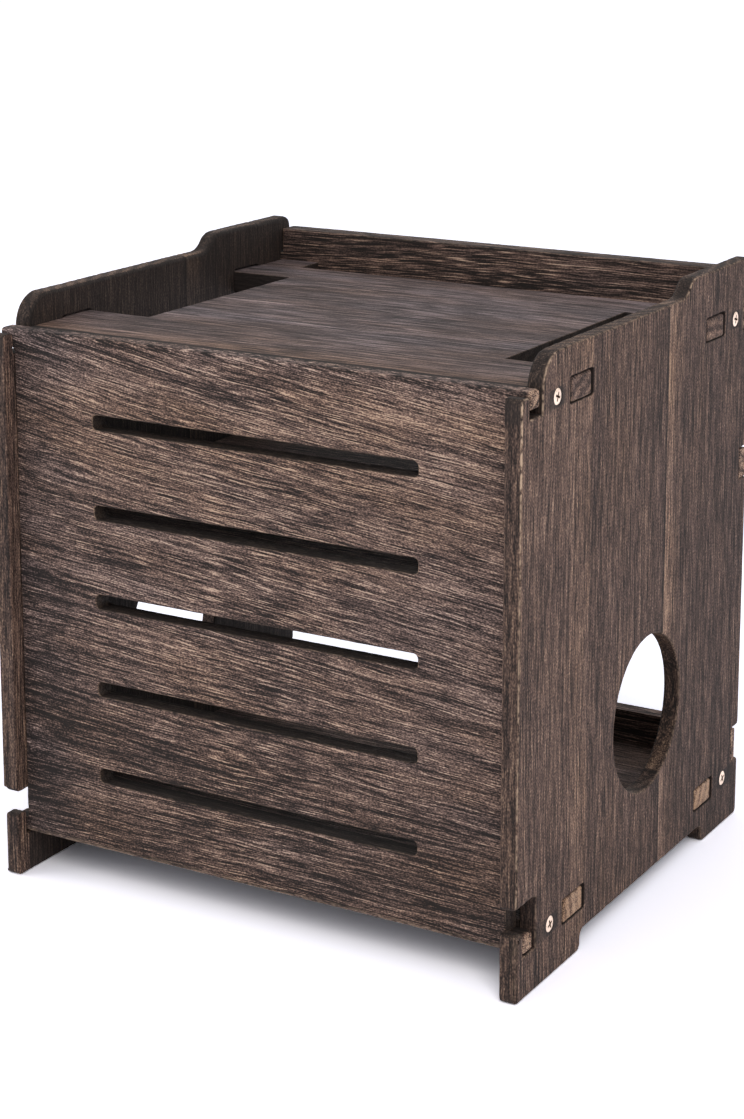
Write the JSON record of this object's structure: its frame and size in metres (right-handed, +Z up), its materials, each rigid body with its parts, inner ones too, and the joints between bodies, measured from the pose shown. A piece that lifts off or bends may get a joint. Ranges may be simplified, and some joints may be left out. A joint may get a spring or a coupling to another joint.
{
  "type": "router storage box",
  "caption": "Free-standing wooden box that hides a router: vented lift-off front panel in hook notches, round cable ports, antenna notches in the top board, open back.",
  "frame": {"origin": "on the surface the box stands on, under the middle of its overall width and depth", "axes": "+Z up, +X to the right of someone who faces the front panel, -Y towards that person"},
  "size_m": [0.3, 0.274, 0.315],
  "materials": {
    "side_panel_wood": "charred, brushed and oiled, grain upright",
    "front_panel_wood": "charred, brushed and oiled, grain lying along the width",
    "top_board_wood": "charred, brushed and oiled, greyish",
    "inner_board_wood": "charred and brushed",
    "rear_rail_wood": "deeply charred and brushed",
    "screw_brass": "pale brass-plated countersunk screws"
  },
  "bodies": {
    "case": {"left_side_panel": "side_panel_wood", "right_side_panel": "side_panel_wood", "top_board": "top_board_wood", "bottom_board": "inner_board_wood", "middle_shelf": "inner_board_wood", "rear_top_rail": "rear_rail_wood", "rear_middle_rail": "rear_rail_wood", "rear_bottom_rail": "rear_rail_wood", "case_screws": "screw_brass", "rail_screws": "screw_brass"},
    "front": {"front_panel": "front_panel_wood"}
  },
  "joints": [
    {"name": "front_lift", "type": "slide", "parent": "case", "child": "front", "axis": [0, 0, 1], "range_m": [0, 0.0153]}
  ]
}
